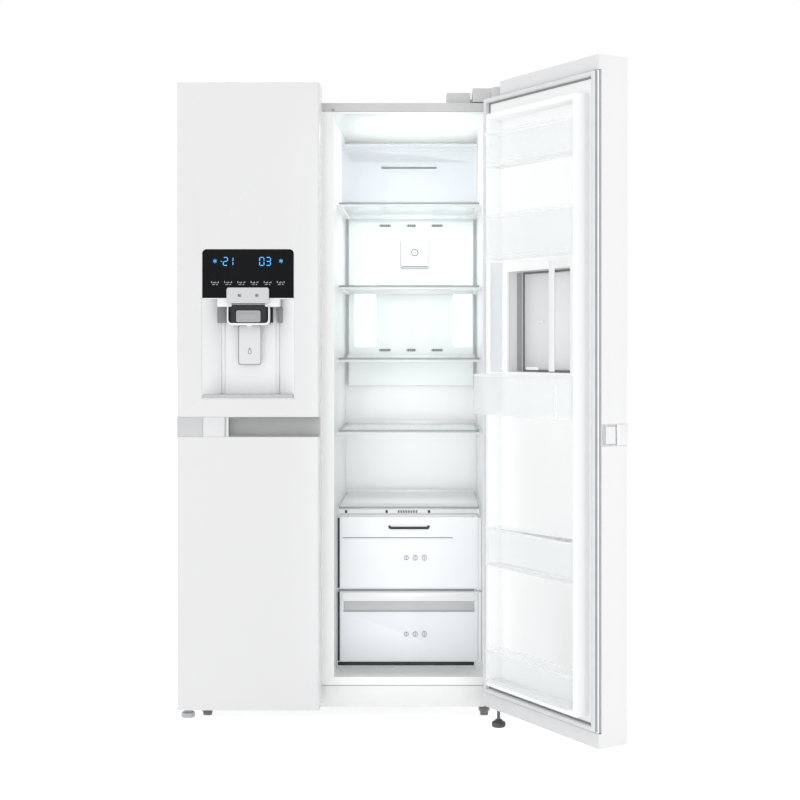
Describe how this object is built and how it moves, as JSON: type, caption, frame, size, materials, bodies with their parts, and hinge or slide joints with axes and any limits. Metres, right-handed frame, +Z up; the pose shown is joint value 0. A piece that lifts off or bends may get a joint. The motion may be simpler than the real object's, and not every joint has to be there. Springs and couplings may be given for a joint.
{
  "type": "side by side refrigerator",
  "caption": "Side by side refrigerator with a freezer door with ice and water dispenser, a fridge door with home bar, glass shelves, crispers and door baskets.",
  "frame": {"origin": "on the floor, at the middle of the space the refrigerator takes with its fridge door open as it stands", "axes": "+X right seen from the front, +Y from the doors to the back, +Z up"},
  "size_m": [1.1986, 1.1444, 1.795],
  "materials": {
    "cabinet_paint": "satin",
    "galvanised": "satin",
    "foam": "matte",
    "liner": "satin",
    "frame_paint": "satin",
    "trim_grey": "satin",
    "switch_grey": "satin",
    "base_white": "satin",
    "compressor_paint": "satin",
    "fan_plastic": "matte",
    "foot_rubber": "matte",
    "cover_grey": "satin",
    "hinge_steel": "satin",
    "duct_white": "satin",
    "lamp_lens": "satin",
    "shelf_glass": "gloss",
    "clear_plastic": "gloss",
    "bin_white": "satin",
    "door_white": "gloss",
    "gasket": "matte",
    "grip_grey": "satin",
    "recess_white": "satin",
    "display_black": "gloss",
    "spout_white": "satin",
    "nozzle_grey": "satin",
    "lever_grey": "satin",
    "paddle_white": "satin",
    "tray_grey": "satin"
  },
  "bodies": {
    "cabinet": {"cabinet_shell": "cabinet_paint", "back_panel": "galvanised", "insulation": "foam", "freezer_liner": "liner", "fridge_liner": "liner", "front_rail": "frame_paint", "top_trim": "trim_grey", "base_grille": "base_white", "base_tray": "galvanised", "machine_cover": "galvanised", "compressor": "compressor_paint", "left_top_hinge": "hinge_steel", "left_hinge_cover": "cover_grey", "left_bottom_hinge": "hinge_steel", "right_top_hinge": "hinge_steel", "right_hinge_cover": "cover_grey", "right_bottom_hinge": "hinge_steel", "air_duct": "duct_white", "ceiling_lamp": "lamp_lens", "shelf_1": "shelf_glass", "shelf_2": "shelf_glass", "shelf_3": "shelf_glass", "shelf_4": "shelf_glass", "crisper_cover": "shelf_glass", "freezer_shelf": "shelf_glass", "freezer_drawer": "clear_plastic", "ice_bin": "bin_white"},
    "freezer_door": {"freezer_door": "door_white", "freezer_door_liner": "liner", "freezer_door_gasket": "gasket", "freezer_grip": "grip_grey", "dispenser_recess": "recess_white", "display_panel": "display_black", "spout_cover": "spout_white", "dispenser_nozzle": "nozzle_grey"},
    "fridge_door": {"fridge_door": "door_white", "fridge_door_liner": "liner", "fridge_door_gasket": "gasket", "fridge_grip": "grip_grey", "door_basket_1": "clear_plastic", "door_basket_2": "clear_plastic", "door_basket_3": "clear_plastic", "door_basket_4": "clear_plastic", "home_bar_case": "clear_plastic"},
    "ice_lever": {"dispenser_lever": "lever_grey"},
    "water_paddle": {"dispenser_paddle": "paddle_white"},
    "drip_tray": {"drip_tray": "tray_grey"},
    "home_bar_door": {"home_bar_door": "door_white"},
    "home_bar_flap": {"home_bar_flap": "clear_plastic"},
    "chill_drawer": {"chill_drawer": "clear_plastic"},
    "upper_crisper": {"upper_crisper": "clear_plastic"},
    "lower_crisper": {"lower_crisper": "clear_plastic"},
    "left_leg": {"left_leg": "foot_rubber"},
    "right_leg": {"right_leg": "foot_rubber"},
    "front_left_roller": {"front_left_roller": "foot_rubber"},
    "front_right_roller": {"front_right_roller": "foot_rubber"},
    "rear_left_roller": {"rear_left_roller": "foot_rubber"},
    "rear_right_roller": {"rear_right_roller": "foot_rubber"},
    "condenser_fan": {"condenser_fan": "fan_plastic"},
    "door_switch": {"door_switch": "switch_grey"}
  },
  "joints": [
    {"name": "freezer_door_hinge", "type": "hinge", "parent": "cabinet", "child": "freezer_door", "pos_m": [-0.57734, -0.13082, 0.9], "axis": [0, 0, -1], "range_deg": [0, 125]},
    {"name": "fridge_door_hinge", "type": "hinge", "parent": "cabinet", "child": "fridge_door", "pos_m": [0.29066, -0.13082, 0.9], "axis": [0, 0, 1], "range_deg": [-122, 3]},
    {"name": "home_bar_hinge", "type": "hinge", "parent": "fridge_door", "child": "home_bar_door", "pos_m": [0.46255, -0.30023, 0.982], "axis": [-0.5299, 0.848, 0], "range_deg": [0, 90]},
    {"name": "home_bar_flap_hinge", "type": "hinge", "parent": "fridge_door", "child": "home_bar_flap", "pos_m": [0.36331, -0.38258, 1.2835], "axis": [-0.5299, 0.848, 0], "range_deg": [0, 60]},
    {"name": "ice_lever_hinge", "type": "hinge", "parent": "freezer_door", "child": "ice_lever", "pos_m": [-0.40259, -0.18132, 1.1615], "axis": [1, 0, 0], "range_deg": [0, 12], "stiffness_Nm_per_rad": 0.6},
    {"name": "water_paddle_hinge", "type": "hinge", "parent": "freezer_door", "child": "water_paddle", "pos_m": [-0.40259, -0.14832, 1.138], "axis": [1, 0, 0], "range_deg": [0, 6], "stiffness_Nm_per_rad": 1.2},
    {"name": "drip_tray_pull", "type": "slide", "parent": "freezer_door", "child": "drip_tray", "axis": [0, -1, 0], "range_m": [0, 0.08]},
    {"name": "chill_drawer_slide", "type": "slide", "parent": "cabinet", "child": "chill_drawer", "axis": [0, -1, 0], "range_m": [0, 0.3]},
    {"name": "upper_crisper_slide", "type": "slide", "parent": "cabinet", "child": "upper_crisper", "axis": [0, -1, 0], "range_m": [0, 0.3]},
    {"name": "lower_crisper_slide", "type": "slide", "parent": "cabinet", "child": "lower_crisper", "axis": [0, -1, 0], "range_m": [0, 0.2]},
    {"name": "left_leg_screw", "type": "slide", "parent": "cabinet", "child": "left_leg", "axis": [0, 0, -1], "range_m": [0, 0.027]},
    {"name": "right_leg_screw", "type": "slide", "parent": "cabinet", "child": "right_leg", "axis": [0, 0, 1], "range_m": [0, 0.027]},
    {"name": "fan_spin", "type": "hinge", "parent": "cabinet", "child": "condenser_fan", "pos_m": [-0.08334, 0.46218, 0.165], "axis": [1, 0, 0], "continuous": true},
    {"name": "door_switch_press", "type": "slide", "parent": "cabinet", "child": "door_switch", "axis": [0, 1, 0], "range_m": [0, 0.006], "stiffness_N_per_m": 200},
    {"name": "front_left_roller_spin", "type": "hinge", "parent": "cabinet", "child": "front_left_roller", "pos_m": [-0.54134, -0.00782, 0.024], "axis": [1, 0, 0], "continuous": true},
    {"name": "front_right_roller_spin", "type": "hinge", "parent": "cabinet", "child": "front_right_roller", "pos_m": [0.25466, -0.00782, 0.024], "axis": [1, 0, 0], "continuous": true},
    {"name": "rear_left_roller_spin", "type": "hinge", "parent": "cabinet", "child": "rear_left_roller", "pos_m": [-0.54134, 0.52418, 0.024], "axis": [1, 0, 0], "continuous": true},
    {"name": "rear_right_roller_spin", "type": "hinge", "parent": "cabinet", "child": "rear_right_roller", "pos_m": [0.25466, 0.52418, 0.024], "axis": [1, 0, 0], "continuous": true}
  ]
}
